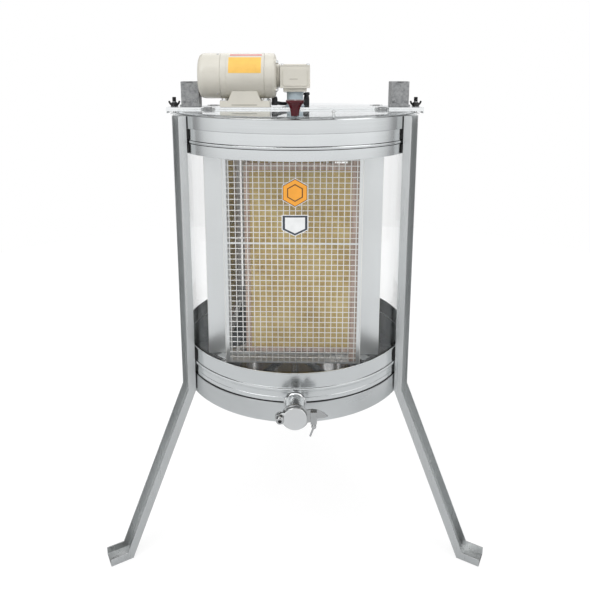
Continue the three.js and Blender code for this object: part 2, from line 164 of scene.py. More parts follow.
def steel(name, tone, grain, r_lo, r_hi, depth=0.05, tint=(1.0, 1.0, 1.0), cloudy=0.05, inside=None):
    """Stainless sheet: long fine grain, faint cloudy variation in tone and gloss. Faces nearer the
    drum's axis than the radius `inside` get painted shade, a darker tone, and a duller gloss."""
    base = tuple(tone * t for t in tint)
    m, nt, p = material(name, base, (r_lo + r_hi) / 2, 1.0)
    fine = noise(nt, 1.0, coords(nt, grain), 4.0, 0.6)
    cloud = noise(nt, 5.0, coords(nt, (1, 1, 1)), 3.0, 0.5)
    tones = ramp(nt, cloud, [(0.3, tuple(c * (1 - cloudy) for c in base)), (0.7, tuple(min(1, c * (1 + cloudy)) for c in base))])
    if inside is None:
        nt.links.new(tones, p.inputs["Base Color"])
    else:
        # Painted shade: faces inside the drum take a darker base colour.
        sep = node(nt, "ShaderNodeSeparateXYZ")
        nt.links.new(coords(nt, (1, 1, 1)), sep.inputs[0])
        yy = node(nt, "ShaderNodeMath", operation="ADD")
        nt.links.new(sep.outputs[1], yy.inputs[0])
        yy.inputs[1].default_value = -AXIS_Y / 1000
        flat = node(nt, "ShaderNodeCombineXYZ")
        nt.links.new(sep.outputs[0], flat.inputs[0])
        nt.links.new(yy.outputs[0], flat.inputs[1])
        dist = node(nt, "ShaderNodeVectorMath", operation="LENGTH")
        nt.links.new(flat.outputs[0], dist.inputs[0])
        isin = node(nt, "ShaderNodeMath", operation="LESS_THAN")
        nt.links.new(dist.outputs["Value"], isin.inputs[0])
        isin.inputs[1].default_value = inside[0] / 1000
        mix = node(nt, "ShaderNodeMix", data_type="RGBA")
        nt.links.new(isin.outputs[0], mix.inputs["Factor"])
        nt.links.new(tones, mix.inputs[6])
        mix.inputs[7].default_value = (*(c * inside[1] for c in base), 1)
        nt.links.new(mix.outputs[2], p.inputs["Base Color"])
    gloss = remap(nt, fine, r_lo, r_hi)
    if inside is None:
        nt.links.new(gloss, p.inputs["Roughness"])
    else:
        both = node(nt, "ShaderNodeMix", data_type="FLOAT")
        nt.links.new(isin.outputs[0], both.inputs["Factor"])
        nt.links.new(gloss, both.inputs[2])
        both.inputs[3].default_value = inside[2]
        nt.links.new(both.outputs[0], p.inputs["Roughness"])
    if depth:
        bump(nt, p, fine, depth, 0.0003)
    return m


# Inside the drum the band's tone drops to 0.55 as painted shade, and its gloss is duller.
STEEL_BAND = steel("steel_band", 0.76, (4, 4, 900), 0.17, 0.27, 0.012, (0.97, 0.995, 1.0), 0.04, (R - 0.6, 0.55, 0.06))
STEEL_HOOP = steel("steel_hoop", 0.66, (4, 4, 900), 0.14, 0.24, 0.012, (0.97, 0.995, 1.0), 0.04)
STEEL_SKIRT = steel("steel_skirt", 0.66, (5, 5, 60), 0.26, 0.42, 0.01, (0.97, 0.995, 1.0), 0.14)
STEEL_FLOOR = steel("steel_floor", 0.34, (30, 30, 30), 0.05, 0.12, 0.01, (1.0, 1.0, 1.0), 0.08)
STEEL_LEG = steel("steel_leg", 0.68, (260, 260, 5), 0.24, 0.38, 0.02, (0.98, 1.0, 1.0))
STEEL_FLAT = steel("steel_flat", 0.80, (6, 500, 500), 0.10, 0.2, 0.01, (0.99, 1.0, 1.0))
STEEL_PART = steel("steel_part", 0.74, (120, 120, 120), 0.12, 0.24, 0.02, (0.99, 1.0, 1.0))
STEEL_WALL = steel("steel_wall", 0.86, (200, 200, 4), 0.30, 0.42, 0.008, (0.98, 1.0, 1.0), 0.04)
STEEL_CAST = steel("steel_cast", 0.52, (120, 120, 120), 0.14, 0.26, 0.03, (0.99, 1.0, 1.0))
WIRE = steel("bright_wire", 0.95, (300, 300, 300), 0.34, 0.46, 0.02, (1.0, 1.0, 0.98))
WIRE.node_tree.nodes["Principled BSDF"].inputs["Metallic"].default_value = 0.55
STEEL_WALL.node_tree.nodes["Principled BSDF"].inputs["Metallic"].default_value = 0.8
DARK_STEEL = steel("blackened_steel", 0.06, (200, 200, 200), 0.34, 0.5, 0.06)


def galvanised():
    m, nt, p = material("galvanised", (0.25, 0.255, 0.26), 0.62, 0.55)
    vec = coords(nt, (1, 1, 1))
    speckle = noise(nt, 900.0, vec, 2.0, 0.7)
    flake = noise(nt, 160.0, vec, 3.0, 0.6)
    mixed = node(nt, "ShaderNodeMath", operation="MULTIPLY_ADD")
    nt.links.new(speckle, mixed.inputs[0])
    mixed.inputs[1].default_value = 0.6
    nt.links.new(flake, mixed.inputs[2])
    nt.links.new(ramp(nt, mixed.outputs[0], [(0.55, (0.20, 0.205, 0.21)), (0.8, (0.35, 0.355, 0.36)), (1.0, (0.46, 0.465, 0.47))]), p.inputs["Base Color"])
    nt.links.new(remap(nt, flake, 0.5, 0.75), p.inputs["Roughness"])
    bump(nt, p, speckle, 0.35, 0.0003)
    return m


GALV = galvanised()


def enamel(name, base, rough=0.38, peel=0.12):
    """Sprayed machine enamel: a little orange peel, tone that drifts, duller in places."""
    m, nt, p = material(name, base, rough, 0.0)
    p.inputs["Coat Weight"].default_value = 0.25
    p.inputs["Coat Roughness"].default_value = 0.2
    vec = coords(nt, (1, 1, 1))
    fine = noise(nt, 420.0, vec, 2.0)
    cloud = noise(nt, 14.0, vec, 4.0)
    nt.links.new(ramp(nt, cloud, [(0.3, tuple(c * 0.93 for c in base)), (0.7, tuple(min(1, c * 1.04) for c in base))]), p.inputs["Base Color"])
    nt.links.new(remap(nt, cloud, rough - 0.06, rough + 0.08), p.inputs["Roughness"])
    bump(nt, p, fine, peel, 0.0004)
    return m


CREAM = enamel("cream_enamel", (0.70, 0.675, 0.60))
# The cream enamel in shade, for painted shadows of slots.
CREAM_SHADE = enamel("cream_shadow", (0.34, 0.32, 0.27))
COLUMN = enamel("blue_grey_enamel", (0.44, 0.52, 0.57), 0.45)


def moulded(name, base, rough, texture=0.1, scale=600.0, spec=0.5):
    m, nt, p = material(name, base, rough, 0.0)
    p.inputs["Specular IOR Level"].default_value = spec
    vec = coords(nt, (1, 1, 1))
    fine = noise(nt, scale, vec, 2.0)
    cloud = noise(nt, 30.0, vec, 3.0)
    nt.links.new(ramp(nt, cloud, [(0.3, tuple(c * 0.85 for c in base)), (0.7, tuple(min(1, c * 1.15) for c in base))]), p.inputs["Base Color"])
    nt.links.new(remap(nt, cloud, rough * 0.85, rough * 1.2), p.inputs["Roughness"])
    bump(nt, p, fine, texture, 0.0003)
    return m


BLACK = moulded("black_plastic", (0.012, 0.012, 0.014), 0.45, 0.15)
RED = moulded("dark_red_plastic", (0.07, 0.003, 0.008), 0.2, 0.02, 300.0, 0.45)
RUBBER_AND_GAP_SHADE = moulded("seal_rubber_and_gap_shade", (0.02, 0.02, 0.02), 0.75, 0.2)
BRONZE = steel("bronze", 0.6, (200, 200, 200), 0.28, 0.42, 0.05, (1.0, 0.75, 0.35))
# Near-black material for painted shadow lines in gaps and creases.
PAINTED_SHADOW_LINE = moulded("shadow_line", (0.006, 0.006, 0.007), 0.6)


def clear(name, face, edge, power, haze=0.02):
    """Clear sheet plastic: it lets the light through and mirrors more and more towards a glancing
    angle, so it is a mirror whose alpha follows the angle."""
    m, nt, p = material(name, (0.93, 0.96, 0.97), 0.03, 1.0)
    lw = node(nt, "ShaderNodeLayerWeight")
    lw.inputs["Blend"].default_value = 0.5
    pw = node(nt, "ShaderNodeMath", operation="POWER")
    nt.links.new(lw.outputs["Facing"], pw.inputs[0])
    pw.inputs[1].default_value = power
    nt.links.new(remap(nt, pw.outputs[0], face, edge, 0.0, 1.0), p.inputs["Alpha"])
    cloud = noise(nt, 9.0, coords(nt, (1, 1, 1)), 4.0)
    nt.links.new(remap(nt, cloud, 0.005, haze), p.inputs["Roughness"])
    nt.links.new(ramp(nt, cloud, [(0.3, (0.90, 0.94, 0.95)), (0.7, (0.95, 0.97, 0.98))]), p.inputs["Base Color"])
    return m


CLEAR_WALL = clear("clear_wall", 0.035, 0.8, 4.5)
CLEAR_LID = clear("clear_lid", 0.045, 0.97, 3.5)


def wood():
    m, nt, p = material("frame_wood", (0.42, 0.30, 0.22), 0.6)
    grain = noise(nt, 1.0, coords(nt, (140, 140, 9)), 5.0, 0.65)
    nt.links.new(ramp(nt, grain, [(0.3, (0.30, 0.20, 0.15)), (0.55, (0.55, 0.42, 0.35)), (0.75, (0.66, 0.54, 0.46))]), p.inputs["Base Color"])
    nt.links.new(remap(nt, grain, 0.5, 0.75), p.inputs["Roughness"])
    bump(nt, p, grain, 0.3, 0.0005)
    return m


def wax():
    m, nt, p = material("capped_comb", (0.40, 0.30, 0.14), 0.55)
    p.inputs["Subsurface Weight"].default_value = 0.05
    p.inputs["Subsurface Radius"].default_value = (0.004, 0.002, 0.001)
    vec = coords(nt, (1, 1, 1))
    cloud = noise(nt, 16.0, vec, 5.0, 0.6)
    cell = node(nt, "ShaderNodeTexVoronoi")
    cell.inputs["Scale"].default_value = 190.0
    nt.links.new(vec, cell.inputs["Vector"])
    tone = node(nt, "ShaderNodeMath", operation="MULTIPLY_ADD")
    nt.links.new(cell.outputs["Distance"], tone.inputs[0])
    tone.inputs[1].default_value = 0.25
    nt.links.new(cloud, tone.inputs[2])
    nt.links.new(ramp(nt, tone.outputs[0], [(0.36, (0.40, 0.27, 0.085)), (0.6, (0.56, 0.42, 0.16)), (0.85, (0.66, 0.53, 0.24))]), p.inputs["Base Color"])
    nt.links.new(remap(nt, cloud, 0.42, 0.65), p.inputs["Roughness"])
    bump(nt, p, cloud, 0.3, 0.001)
    return m


WOOD = wood()
WAX = wax()


def label(name, base, rough=0.35):
    m, nt, p = material(name, base, rough)
    vec = coords(nt, (1, 1, 1))
    fleck = noise(nt, 60.0, vec, 4.0)
    nt.links.new(ramp(nt, fleck, [(0.3, tuple(c * 0.93 for c in base)), (0.7, tuple(min(1, c * 1.04) for c in base))]), p.inputs["Base Color"])
    nt.links.new(remap(nt, fleck, rough - 0.06, rough + 0.08), p.inputs["Roughness"])
    bump(nt, p, fleck, 0.03, 0.0002)
    return m


ORANGE = label("label_orange", (0.90, 0.38, 0.04))
BROWN = label("label_brown", (0.10, 0.045, 0.02))
WHITE = label("label_white", (0.86, 0.87, 0.87))
NAVY = label("label_navy", (0.05, 0.06, 0.08))
YELLOW = label("label_yellow", (0.93, 0.56, 0.12))
PINK = label("label_red", (0.70, 0.16, 0.17))


# ------------------------------------------------------------------ mesh making
def finish_mesh(ob, mat, angle=35):
    me = ob.data
    me.materials.clear()
    me.materials.append(mat)
    for poly in me.polygons:
        poly.use_smooth = True
        poly.material_index = 0
    me.set_sharp_from_angle(angle=math.radians(angle))


def piece(name, bm, mat, body="drum", stands_for=(), bevel=0.0, cuts=(), angle=35, place=PLACE, segments=2):
    """A finished piece from a bmesh in millimetres about the drum's axis."""
    bmesh.ops.remove_doubles(bm, verts=bm.verts, dist=1e-5)
    bmesh.ops.recalc_face_normals(bm, faces=bm.faces)
    bm.transform(place)
    me = bpy.data.meshes.new(name)
    bm.to_mesh(me)
    bm.free()
    ob = bpy.data.objects.new(name, me)
    bpy.context.scene.collection.objects.link(ob)
    for i, cut in enumerate(cuts):
        bmesh.ops.recalc_face_normals(cut, faces=cut.faces)
        cut.transform(place)
        cm = bpy.data.meshes.new("cut")
        cut.to_mesh(cm)
        cut.free()
        co = bpy.data.objects.new("cut", cm)
        bpy.context.scene.collection.objects.link(co)
        mod = ob.modifiers.new("cut", "BOOLEAN")
        mod.operation = "DIFFERENCE"
        mod.solver = "EXACT"
        mod.object = co
        dg = bpy.context.evaluated_depsgraph_get()
        new = bpy.data.meshes.new_from_object(ob.evaluated_get(dg))
        ob.modifiers.clear()
        ob.data = new
        bpy.data.objects.remove(co)
    finish_mesh(ob, mat, angle)
    if bevel:
        mod = ob.modifiers.new("bevel", "BEVEL")
        mod.width = bevel / 1000
        mod.segments = segments
        mod.limit_method = "ANGLE"
        mod.angle_limit = math.radians(34)
        mod.use_clamp_overlap = True
        mod.harden_normals = True
    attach(ob, body)
    if stands_for:
        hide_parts(*stands_for)
    return ob


def lathe(profile, seg=160, matrix=None, into=None):
    """Revolves (r, z) points about Z. A profile that ends where it starts makes a ring."""
    bm = into or bmesh.new()
    closed = profile[0] == profile[-1]
    points = [profile[0]]
    for (r0, z0), (r1, z1) in zip(profile, profile[1:]):
        # A loop just inside each end of a long run keeps the run flat when it is shaded.
        run = math.hypot(r1 - r0, z1 - z0)
        if run > 4:
            for t in (0.5 / run, 1 - 0.5 / run):
                points.append((r0 + (r1 - r0) * t, z0 + (z1 - z0) * t))
        points.append((r1, z1))
    if closed:
        points.pop()
    rows = []
    for r, z in points:
        if r < 1e-6:
            v = bm.verts.new((0, 0, z))
            rows.append([v] * seg)
        else:
            rows.append([bm.verts.new((r * math.cos(2 * math.pi * i / seg), r * math.sin(2 * math.pi * i / seg), z)) for i in range(seg)])
    pairs = list(zip(rows, rows[1:])) + ([(rows[-1], rows[0])] if closed else [])
    made = [v for row in rows for v in dict.fromkeys(row)]
    for a, b in pairs:
        for i in range(seg):
            j = (i + 1) % seg
            quad = list(dict.fromkeys([a[i], a[j], b[j], b[i]]))
            if len(quad) > 2:
                bm.faces.new(quad)
    if matrix is not None:
        bmesh.ops.transform(bm, matrix=matrix, verts=made)
    return bm


def box(x0, x1, y0, y1, z0, z1, into=None, matrix=None):
    bm = into or bmesh.new()
    vs = [bm.verts.new((x, y, z)) for x in (x0, x1) for y in (y0, y1) for z in (z0, z1)]
    for f in ((0, 1, 3, 2), (4, 6, 7, 5), (0, 4, 5, 1), (2, 3, 7, 6), (0, 2, 6, 4), (1, 5, 7, 3)):
        bm.faces.new([vs[i] for i in f])
    if matrix is not None:
        bmesh.ops.transform(bm, matrix=matrix, verts=vs)
    return bm


def rod(a, b, r, seg=8, into=None, matrix=None):
    """A plain round bar from a to b."""
    bm = into or bmesh.new()
    a, b = Vector(a), Vector(b)
    d = (b - a).normalized()
    side = d.orthogonal().normalized()
    other = d.cross(side)
    rows = []
    for c in (a, b):
        rows.append([bm.verts.new(c + (side * math.cos(2 * math.pi * i / seg) + other * math.sin(2 * math.pi * i / seg)) * r) for i in range(seg)])
    for i in range(seg):
        j = (i + 1) % seg
        bm.faces.new([rows[0][i], rows[0][j], rows[1][j], rows[1][i]])
    bm.faces.new(rows[0][::-1])
    bm.faces.new(rows[1])
    if matrix is not None:
        bmesh.ops.transform(bm, matrix=matrix, verts=rows[0] + rows[1])
    return bm


def prism(points, d0, d1, plane="XZ", into=None, matrix=None):
    """A flat outline thickened between d0 and d1 along the plane's normal."""
    bm = into or bmesh.new()

    def at3(p, d):
        return (p[0], d, p[1]) if plane == "XZ" else (p[0], p[1], d)

    lo = [bm.verts.new(at3(p, d0)) for p in points]
    hi = [bm.verts.new(at3(p, d1)) for p in points]
    bm.faces.new(lo)
    bm.faces.new(hi[::-1])
    for i in range(len(points)):
        j = (i + 1) % len(points)
        bm.faces.new([lo[i], lo[j], hi[j], hi[i]])
    if matrix is not None:
        bmesh.ops.transform(bm, matrix=matrix, verts=lo + hi)
    return bm


def tube_along(points, r, seg=16, into=None):
    bm = into or bmesh.new()
    rows = []
    up = None
    for i, p in enumerate(points):
        a = points[max(i - 1, 0)]
        b = points[min(i + 1, len(points) - 1)]
        d = (b - a).normalized()
        up = (up - d * up.dot(d)).normalized() if up is not None else d.orthogonal().normalized()
        w = d.cross(up)
        rows.append([bm.verts.new(p + (up * math.cos(2 * math.pi * k / seg) + w * math.sin(2 * math.pi * k / seg)) * r) for k in range(seg)])
    for a, b in zip(rows, rows[1:]):
        for k in range(seg):
            j = (k + 1) % seg
            bm.faces.new([a[k], a[j], b[j], b[k]])
    bm.faces.new(rows[0][::-1])
    bm.faces.new(rows[-1])
    return bm


def refined(cad, name, mat, bevel=0.6, segments=2, angle=32):
    """The CAD solid again, with flat faces joined and its edges rounded."""
    src = frame["nodes"][cad]
    bm = bmesh.new()
    bm.from_mesh(src.data)
    bmesh.ops.remove_doubles(bm, verts=bm.verts, dist=2e-6)
    bmesh.ops.dissolve_limit(bm, angle_limit=math.radians(1.0), verts=bm.verts, edges=bm.edges)
    return piece(name, bm, mat, src["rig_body"], [cad], bevel, (), angle, Matrix.Identity(4), segments)


def spline(points, steps):
    """A smooth path through the points (Catmull-Rom)."""
    pts = [Vector(p) for p in points]
    pts = [pts[0] * 2 - pts[1]] + pts + [pts[-1] * 2 - pts[-2]]
    out = []
    for i in range(1, len(pts) - 2):
        a, b, c, d = pts[i - 1 : i + 3]
        for k in range(steps):
            t = k / steps
            out.append(0.5 * ((2 * b) + (c - a) * t + (2 * a - 5 * b + 4 * c - d) * t * t + (3 * b - a - 3 * c + d) * t**3))
    out.append(pts[-2])
    return out


# ------------------------------------------------------------------ drum
hole = lambda: lathe([(21.3, -290), (21.3, -240), (0, -240), (0, -290), (21.3, -290)], 64, at(0, 0, GATE_Z) @ TO_Y)


def outlet_cut():
    bm = bmesh.new()
    rows = []
    for y in (-292, -238):
        rows.append([bm.verts.new((21.4 * math.cos(2 * math.pi * i / 64), y, GATE_Z + 21.4 * math.sin(2 * math.pi * i / 64))) for i in range(64)])
    for i in range(64):
        j = (i + 1) % 64
        bm.faces.new([rows[0][i], rows[0][j], rows[1][j], rows[1][i]])
    bm.faces.new(rows[0][::-1])
    bm.faces.new(rows[1])
    return bm


def bead(r, z, out, half, n=8):
    """A rounded bead that stands out of a wall."""
    return [(r + out * math.sin(math.pi * i / n), z - half * math.cos(math.pi * i / n)) for i in range(n + 1)]


tank_profile = (
    [(R - SHEET, 374.2), (R - 0.7, 374), (R, 374.2), (R, 408)]
    + bead(R, 409.5, 0.5, 1.5, 4)
    + [(R, 412)]
    + bead(R, 427.6, 2.3, 4.4, 16)
    + [(R, 437), (R, 461.5), (R + 0.6, 462.2), (R + 0.9, 463.1), (R + 0.6, 463.9), (R, 464), (R - SHEET, 464)]
    + [(R - SHEET, 430)]
    + [(R - SHEET + o, z) for o, z in ((0.0, 430), (1.2, 428), (1.2, 426), (0.0, 424))]
    + [(R - SHEET, 374.2)]
)
piece("tank", lathe(tank_profile, 192), STEEL_BAND, stands_for=["tank_shell"], cuts=[outlet_cut()], angle=30)
piece(
    "tank_bottom",
    lathe([(0, 402), (34, 402), (256, 376.5), (R - SHEET - 0.4, 376.5), (R - SHEET - 0.3, 379.6), (R - SHEET - 0.9, 379.2), (256.5, 378.6), (34, 404.2), (0, 404.2)], 192),
    STEEL_FLOOR,
    stands_for=["tank_floor"],
    angle=30,
)
piece(
    "skirt",
    lathe([(R + 0.4, 357), (R + 0.6, 356.2), (R + 1.2, 356), (R + 1.9, 356.6), (R + 1.9, 398.4), (R + 1.5, 399), (R + 0.4, 399), (R + 0.4, 357)], 192),
    STEEL_SKIRT,
    stands_for=["tank_shell"],
    cuts=[outlet_cut()],
    angle=30,
)
# The dark line above the skirt: painted shadow of the gap at the joint.
piece("skirt_joint_shadow", lathe([(R + 0.05, 398.9), (R + 0.9, 399.05), (R + 0.9, 401.2), (R + 0.05, 401.6), (R + 0.05, 398.9)], 192), PAINTED_SHADOW_LINE, cuts=[outlet_cut()])
piece(
    "ring_upper",
    lathe(
        [(R - SHEET, 891.3), (R - 0.6, 891), (R, 891.4), (R, 896)]
        + bead(R, 915.8, 1.2, 3.3, 12)
        + [(R, 930), (R, 967.8), (R - SHEET, 967.8), (R - SHEET, 891.3)],
        192,
    ),
    STEEL_BAND,
    stands_for=["upper_ring"],
    angle=30,
)
piece(
    "hoop",
    lathe(
        [(R + 0.6, 942.6), (R + 1.4, 942), (RIM_R - 0.3, 942.2), (RIM_R, 943), (RIM_R, 967.8), (RIM_R - 0.5, 969.3), (RIM_R - 1.8, 970), (250, 970), (248.4, 969.8), (248, 969.2), (248.4, 968.6), (263, 968.4), (263.6, 967.8), (R + 0.6, 942.6)],
        192,
    ),
    STEEL_HOOP,
    stands_for=["rim_band"],
    angle=30,
)
piece(
    "clear_wall",
    lathe([(CLEAR_R - 2.2, 440), (CLEAR_R, 440), (CLEAR_R, 915), (CLEAR_R - 2.2, 915), (CLEAR_R - 2.2, 440)], 192),
    CLEAR_WALL,
    stands_for=["clear_cylinder"],
)
# Painted shadow lines in the creases of the two rolled beads, and black strips of painted shade in the gaps between
# legs and drum.
creases = bmesh.new()
for z0, z1, out in ((917.6, 919.3, 0.75), (911.6, 913.6, 0.75), (424.6, 426.6, 1.9), (430.6, 431.5, 1.4)):
    lathe([(R + 0.02, z0), (R + out - 0.2, z0), (R + out, (z0 + z1) / 2), (R + out - 0.2, z1), (R + 0.02, z1), (R + 0.02, z0)], 192, None, creases)
piece("bead_creases", creases, PAINTED_SHADOW_LINE)
# Painted shade: black strips in the gaps where each leg meets the drum, in the seal's rubber material.
gap_shade_strips = bmesh.new()
for deg in (-30, 90, 210):
    for r0, r1, z0, z1 in ((RIM_R + 0.08, RIM_R + 0.32, 943, 967), (R + 1.0, RIM_R + 0.32, 921, 941.6), (R + 0.9, RIM_R + 0.32, 893, 910), (R + 0.9, RIM_R + 0.32, 433, 460)):
        n = 8
        half = 23.0
        rows = []
        for i in range(n + 1):
            a = math.radians(deg) + (-half + 2 * half * i / n) / R
            rows.append([gap_shade_strips.verts.new((q * math.cos(a), q * math.sin(a), z)) for q, z in ((r0, z0), (r1, z0), (r1, z1), (r0, z1))])
        for a, b in zip(rows, rows[1:]):
            for k in range(4):
                gap_shade_strips.faces.new([a[k], a[(k + 1) % 4], b[(k + 1) % 4], b[k]])
        gap_shade_strips.faces.new(rows[0][::-1])
        gap_shade_strips.faces.new(rows[-1])
piece("leg_gap_shade", gap_shade_strips, RUBBER_AND_GAP_SHADE)

# ------------------------------------------------------------------ legs
for side in ("left", "right", "rear"):
    refined(f"leg_{side}", f"leg_{side}_channel", STEEL_LEG, 0.9, 3)
    refined(f"leg_screw_{side}", f"leg_{side}_screw", STEEL_PART, 0.3)

# ------------------------------------------------------------------ crossbar, posts, clamps
refined("crossbar", "crossbar_channel", STEEL_FLAT, 0.5)
for side, s in (("left", -1), ("right", 1)):
    x = s * 234.5
    refined(f"post_{side}", f"post_{side}_tube", GALV, 0.9, 3)
    # Foot plate and two screw heads in front of the post.
    base = box(x - 23, x + 23, -21.5, -20.1, 979.2, 984)
    piece(f"post_{side}_lip", base, GALV, bevel=0.4)
    heads = bmesh.new()
    for dx in (-13, 13):
        lathe([(0, 0), (4.2, 0), (4.0, 1.6), (2.4, 2.6), (1.4, 2.7), (1.3, 1.7), (0, 1.6)], 20, at(x + dx, -20.0, 992) @ Matrix.Rotation(math.pi / 2, 4, "X"), heads)
    piece(f"post_{side}_screws", heads, GALV)
    refined(f"clamp_stud_{side}", f"clamp_ear_{side}", STEEL_PART, 0.4)
    turns = bmesh.new()
    z = 989.5
    profile = [(3.9, z)]
    while z < 999.2:
        profile += [(4.35, z + 0.35), (4.0, z + 0.75)]
        z += 0.8
    profile += [(3.4, 1000.2), (0, 1000.3)]
    lathe([(0, 989.5)] + profile, 24, at(s * 274, 0, 0), turns)
    piece(f"stud_thread_{side}", turns, DARK_STEEL, angle=60)
    # Wing nut: a tapered boss with two curved wings.
    wn = bmesh.new()
    lathe([(4.4, 979.5), (8.2, 979.5), (8.4, 980.6), (7.4, 982.4), (6.6, 987), (5.8, 988.6), (4.4, 988.8), (4.4, 979.5)], 32, at(s * 274, 0, 0), wn)
    for k in (1, -1):
        path = spline([(k * 5.5, 0, 983), (k * 8.2, 0, 984.4), (k * 10.4, 0, 987.4), (k * 12.0, 0, 991.5)], 5)
        for i, (a, b) in enumerate(zip(path, path[1:])):
            pass
        rows = []
        for i, p in enumerate(path):
            q = path[min(i + 1, len(path) - 1)] - path[max(i - 1, 0)]
            q.normalize()
            n = Vector((-q.z, 0, q.x))
            t = i / (len(path) - 1)
            w, d = 2.6 - 0.5 * t, 2.0 - 0.5 * t
            if i == len(path) - 1:
                w, d = 1.0, 0.8
            rows.append([wn.verts.new(Vector((s * 274, 0, 0)) + p + n * (w * math.cos(u)) + Vector((0, d * math.sin(u), 0))) for u in [2 * math.pi * j / 12 for j in range(12)]])
        for a, b in zip(rows, rows[1:]):
            for j in range(12):
                wn.faces.new([a[j], a[(j + 1) % 12], b[(j + 1) % 12], b[j]])
        wn.faces.new(rows[0][::-1])
        wn.faces.new(rows[-1])
    piece(f"wing_nut_{side}_cast", wn, DARK_STEEL, f"wing_{side}", [f"wing_nut_{side}"], angle=50)

# ------------------------------------------------------------------ lids
for side, s in (("front", -1), ("rear", 1)):
    start = math.asin(LID_EDGE / LID_R)
    arc = []
    for i in range(97):
        a = start + (math.pi - 2 * start) * i / 96
        arc.append((LID_R * math.cos(a), s * LID_R * math.sin(a)))
    piece(f"{side}_lid_sheet", prism(arc, 970.4, 974.4, "XY"), CLEAR_LID, f"{side}_lid", [f"{side}_lid"], bevel=0.6, angle=30)
    knob = lathe(
        [(0, 974.8), (6.4, 974.8), (7.4, 975.2), (7.7, 976.5), (7.9, 980), (8.5, 985), (9.8, 990), (12.4, 994.8), (15.4, 998.6), (16.8, 1000.6), (17.0, 1002), (16.7, 1003.3), (15.7, 1004.1), (14.0, 1004.4), (12.6, 1004.0), (9, 1003.5), (0, 1003.3)],
        64,
        at(0, s * 250, 0),
    )
    piece(f"{side}_lid_knob_flared", knob, RED, f"{side}_lid", [f"{side}_lid_knob"])
    pin = lathe([(0, 1003.2), (3.0, 1003.2), (2.8, 1003.9), (1.6, 1004.25), (0, 1004.3)], 24, at(0, s * 250, 0))
    piece(f"{side}_lid_knob_screw", pin, STEEL_PART, f"{side}_lid")
    stop = lathe([(0, 974.4), (3.4, 974.4), (3.4, 976.0), (2.4, 976.6), (2.4, 980.4), (3.6, 981.2), (3.6, 983.6), (3.0, 984.2), (0, 984.2)], 24, at(s * -72, s * 240, 0))
    piece(f"{side}_lid_stop", stop, STEEL_PART, f"{side}_lid")
    for hand in ("left", "right"):
        refined(f"{side}_lid_hinge_{hand}", f"{side}_hinge_{hand}_leaf", GALV, 0.35)
        hx = -191 if hand == "left" else 191
        screws = bmesh.new()
        for dx in (-5, 5):
            lathe([(0, 0), (2.2, 0), (2.0, 0.7), (1.0, 1.1), (0, 1.15)], 16, at(hx + dx, s * 60.5, 976.6), screws)
        piece(f"{side}_hinge_{hand}_screws", screws, STEEL_PART, f"{side}_lid")

# ------------------------------------------------------------------ motor
AXIS = at(0, 0, MOTOR_Z) @ TO_X


def round_x(profile, seg=96):
    """Revolves (r, x) points about the motor's axis."""
    return lathe(profile, seg, AXIS)


vents = []
for k in range(6):
    c = bmesh.new()
    a = math.radians(60 * k)
    rod((-222, 24 * math.cos(a), MOTOR_Z + 24 * math.sin(a)), (-205, 24 * math.cos(a), MOTOR_Z + 24 * math.sin(a)), 7, 32, c)
    vents.append(c)
piece(
    "cowl",
    round_x(
        [(0, -214), (36, -214), (41, -213.4), (45, -211.4), (48, -208), (49.5, -203.6), (MOTOR_R, -199), (MOTOR_R, -165.2), (49.3, -164.3), (48, -164.3)]
        + [(48, -199), (47.3, -203), (45.6, -206.6), (43, -209.6), (39, -211.6), (36, -212), (0, -212)]
    ),
    CREAM,
    stands_for=["fan_cowl"],
    cuts=vents,
    angle=30,
)
ribs = [(43.8, -164.0), (49.3, -164.0), (MOTOR_R, -163.2), (MOTOR_R, -151), (49.6, -150.7), (49.6, -150.3), (MOTOR_R, -150)]
ribs += [(MOTOR_R, -68.2), (49.3, -67.3), (43.8, -67.3), (43.8, -164.0)]
piece("motor_casing", round_x(ribs), CREAM, stands_for=["motor_body"], angle=30)
piece(
    "end_shield",
    round_x(
        [(9, -67.0), (49.3, -67.0), (MOTOR_R, -66.2), (MOTOR_R, -50.5), (49.5, -47.9), (48.3, -45.8), (46.5, -44.2), (44, -43.0), (40, -41.9), (35, -41.3), (31, -40.9), (28, -40.5), (26, -39.6), (26, -34.2), (9, -34.2), (9, -67.0)]
    ),
    CREAM,
    stands_for=["motor_end_shield"],
    angle=30,
)
# Lugs with hex screws round the end shield, and the screws of the cowl.
lugs, hexes = bmesh.new(), bmesh.new()
for k in range(4):
    a = math.radians(45 + 90 * k)
    y, z = 42.5 * math.cos(a), MOTOR_Z + 42.5 * math.sin(a)
    lathe([(0, 0), (5.8, 0), (5.6, 12.4), (4.8, 13.4), (0, 13.4)], 24, at(-55, y, z) @ TO_X, lugs)
    lathe([(0, 0), (3.9, 0), (3.9, 2.7), (3.3, 3.3), (0, 3.3)], 6, at(-41.6, y, z) @ TO_X, hexes)
for k in range(3):
    a = math.radians(20 + 120 * k)
    m = Matrix.Translation((0, 0, MOTOR_Z)) @ Matrix.Rotation(a, 4, "X") @ at(-170, 0, MOTOR_R - 0.2)
    lathe([(0, 0), (2.9, 0), (2.7, 0.9), (1.5, 1.5), (0, 1.6)], 16, m, hexes)
piece("end_shield_lugs", lugs, CREAM)
piece("motor_screws", hexes, STEEL_PART)
refined("motor_foot", "motor_foot_cast", CREAM, 1.2, 3)
